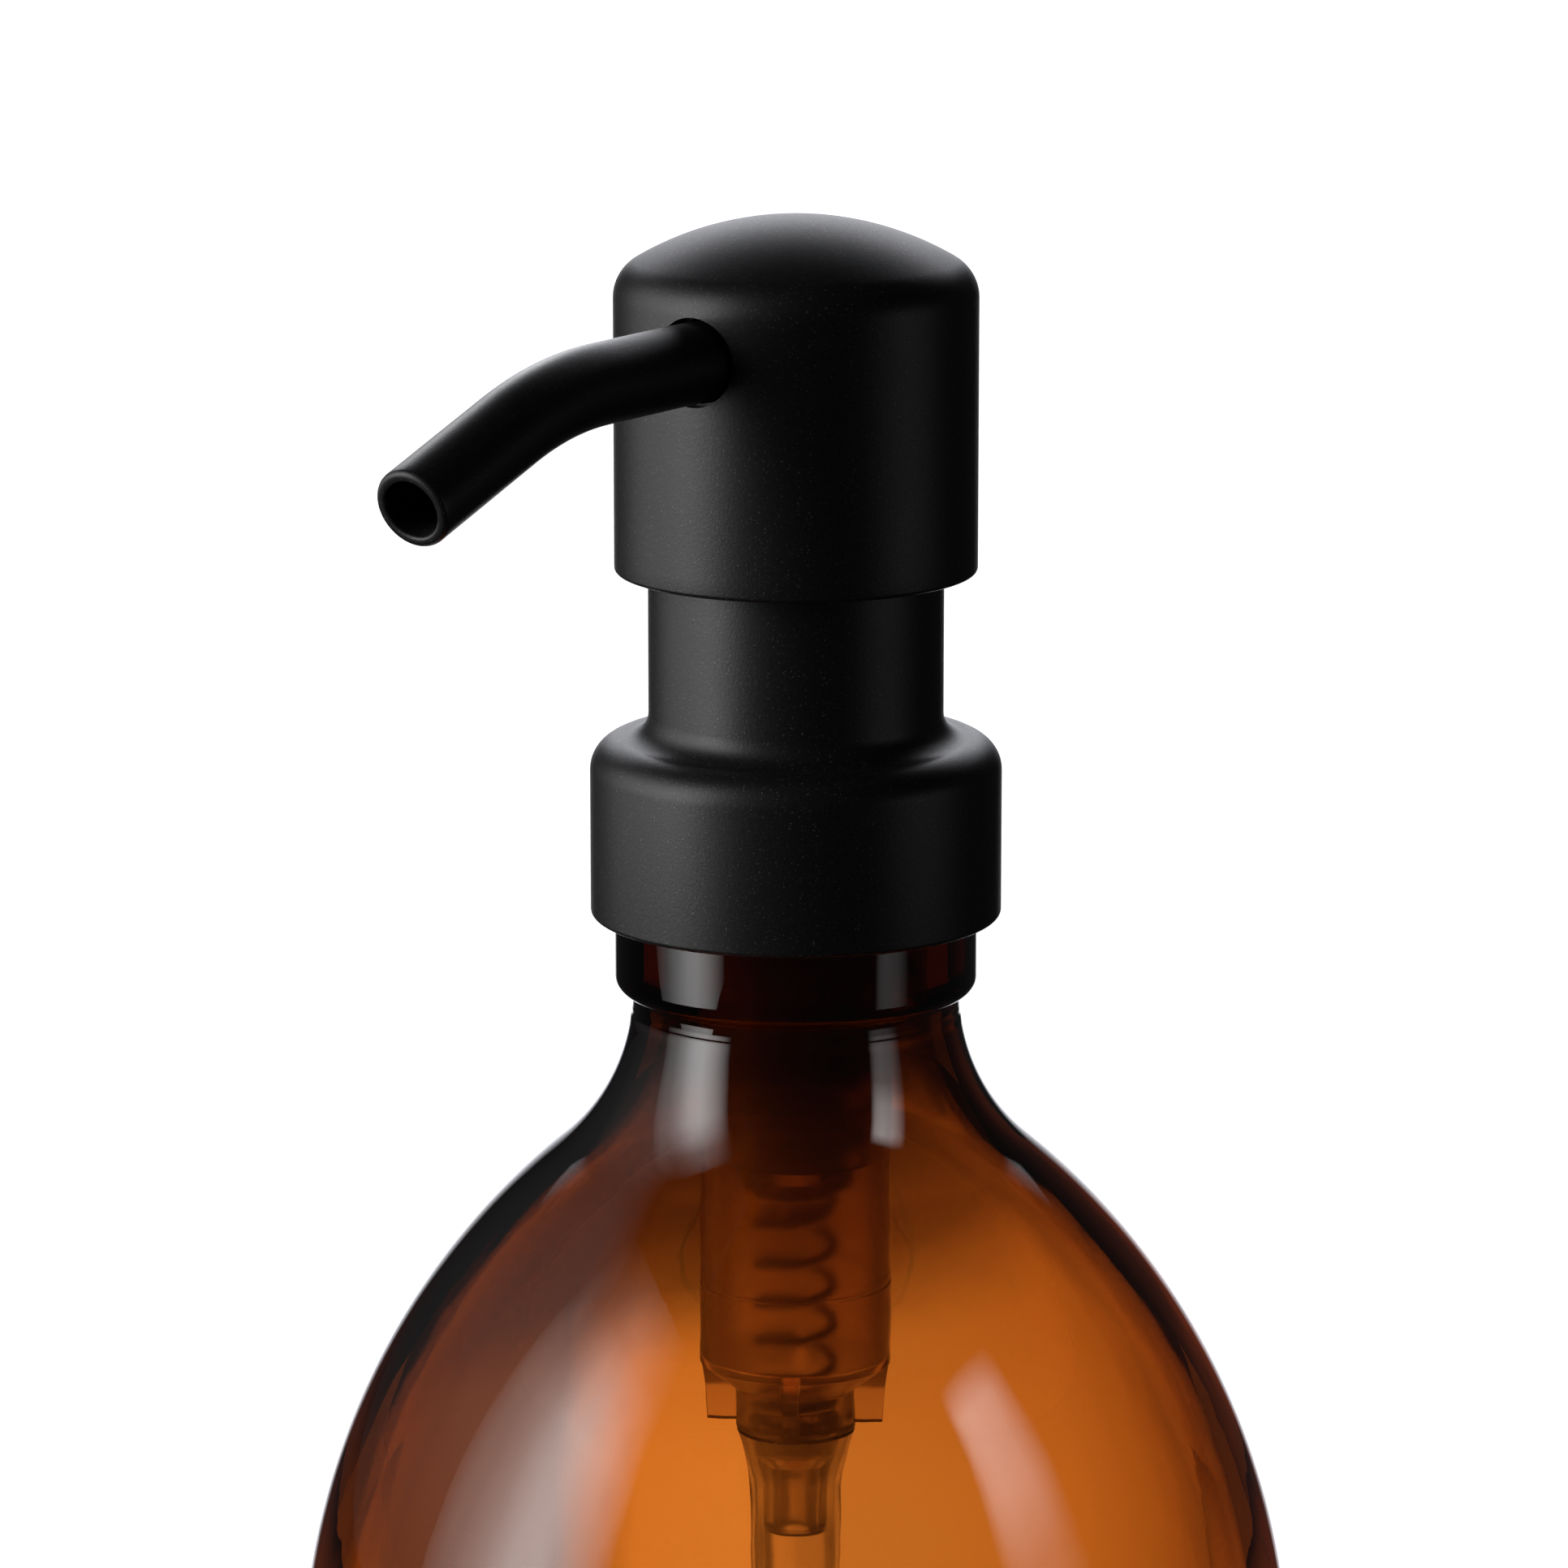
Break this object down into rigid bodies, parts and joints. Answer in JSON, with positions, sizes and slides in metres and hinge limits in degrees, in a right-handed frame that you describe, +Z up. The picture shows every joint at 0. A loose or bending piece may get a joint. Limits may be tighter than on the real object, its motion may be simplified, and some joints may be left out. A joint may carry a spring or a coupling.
{
  "type": "soap pump dispenser",
  "caption": "Amber glass bottle with a threaded neck and a black metal-clad lotion pump whose domed head presses down and swivels with its bent spout.",
  "frame": {"origin": "on the bottle's axis, in the plane of the ring that the bottle stands on", "axes": "+Z up along the bottle's axis; at rest the spout points midway between -X and -Y"},
  "size_m": [0.0788, 0.0788, 0.2164],
  "materials": {
    "amber_glass": "clear amber glass, polished",
    "black_metal": "fine matt black powder coat",
    "black_plastic": "moulded black plastic",
    "natural_plastic": "moulded natural plastic",
    "tube_plastic": "extruded natural plastic tube",
    "gasket_foam": "closed-cell foam",
    "stainless_steel": "drawn stainless wire and polished ball"
  },
  "bodies": {
    "bottle": {"bottle": "amber_glass"},
    "pump": {"pump_housing": "natural_plastic", "stem_guide": "black_plastic", "gasket": "gasket_foam", "dip_tube": "tube_plastic", "ball_cage": "natural_plastic", "return_spring": "stainless_steel"},
    "closure": {"screw_closure": "black_plastic", "collar_shroud": "black_metal"},
    "plunger": {"valve_seat": "natural_plastic"},
    "piston": {"piston": "natural_plastic"},
    "head": {"stem": "natural_plastic", "head_core": "black_plastic", "head_shell": "black_metal", "spout": "black_metal"},
    "ball": {"inlet_ball": "stainless_steel"}
  },
  "joints": [
    {"name": "pump_lift", "type": "slide", "parent": "bottle", "child": "pump", "axis": [0, 0, 1], "range_m": [0, 0.00845]},
    {"name": "closure_turn", "type": "hinge", "parent": "pump", "child": "closure", "pos_m": [0, 0, 0.17], "axis": [0, 0, 1], "range_deg": [0, 720]},
    {"name": "head_press", "type": "slide", "parent": "pump", "child": "plunger", "axis": [0, 0, 1], "range_m": [-0.0115, 0], "stiffness_N_per_m": 500, "springref_m": 0.008, "deforming": ["return_spring"]},
    {"name": "piston_slip", "type": "slide", "parent": "plunger", "child": "piston", "axis": [0, 0, 1], "range_m": [0, 0.0012]},
    {"name": "head_turn", "type": "hinge", "parent": "plunger", "child": "head", "pos_m": [0, 0, 0.2], "axis": [0, 0, 1], "continuous": true},
    {"name": "ball_lift", "type": "slide", "parent": "pump", "child": "ball", "axis": [0, 0, 1], "range_m": [0, 0.001]}
  ],
  "couplings": [
    {"joint": "closure_turn", "follows": "pump_lift", "rad_per_m": 1485.4}
  ]
}
